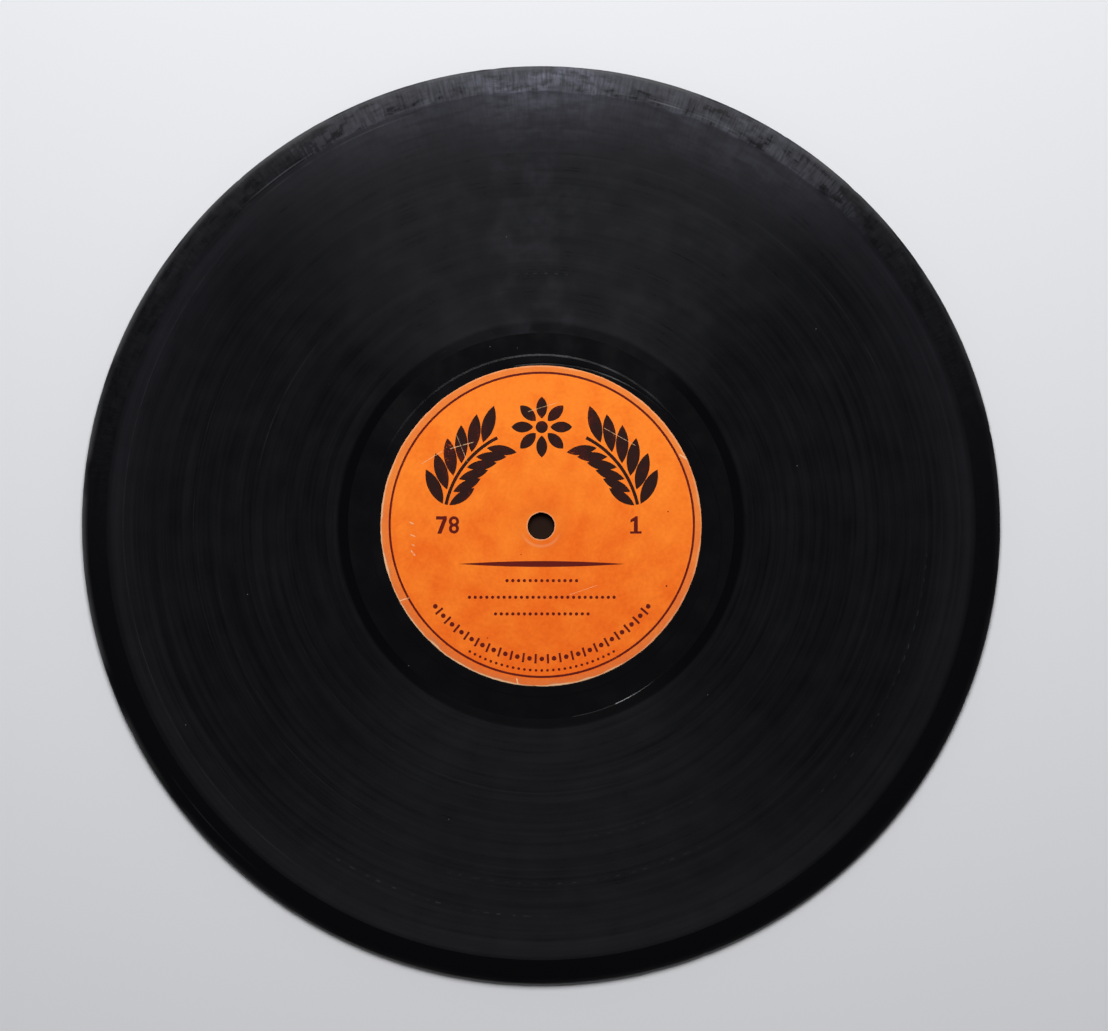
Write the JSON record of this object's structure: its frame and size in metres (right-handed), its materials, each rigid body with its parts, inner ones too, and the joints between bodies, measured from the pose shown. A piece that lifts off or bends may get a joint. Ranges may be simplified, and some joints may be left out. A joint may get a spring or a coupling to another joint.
{
  "type": "gramophone record",
  "caption": "Flat black disc record with a spiral groove and a smooth lip on each side, a spindle hole and a printed orange paper label sunk into each face.",
  "frame": {"origin": "middle of the spindle hole, on the plane that the record lies on", "axes": "+Z along the spindle hole, out of the front face; +Y towards the top of the front label; +X to its right"},
  "size_m": [0.254, 0.254, 0.0022],
  "materials": {
    "shellac": "pressed, glossy on the dead wax, satin where it is grooved and worn",
    "label_paper": "matt uncoated paper",
    "label_ink": "matt letterpress ink"
  },
  "bodies": {
    "root": {"shellac_disc": "shellac", "front_label": "label_paper", "back_label": "label_paper", "front_print": "label_ink", "back_print": "label_ink"}
  },
  "joints": []
}
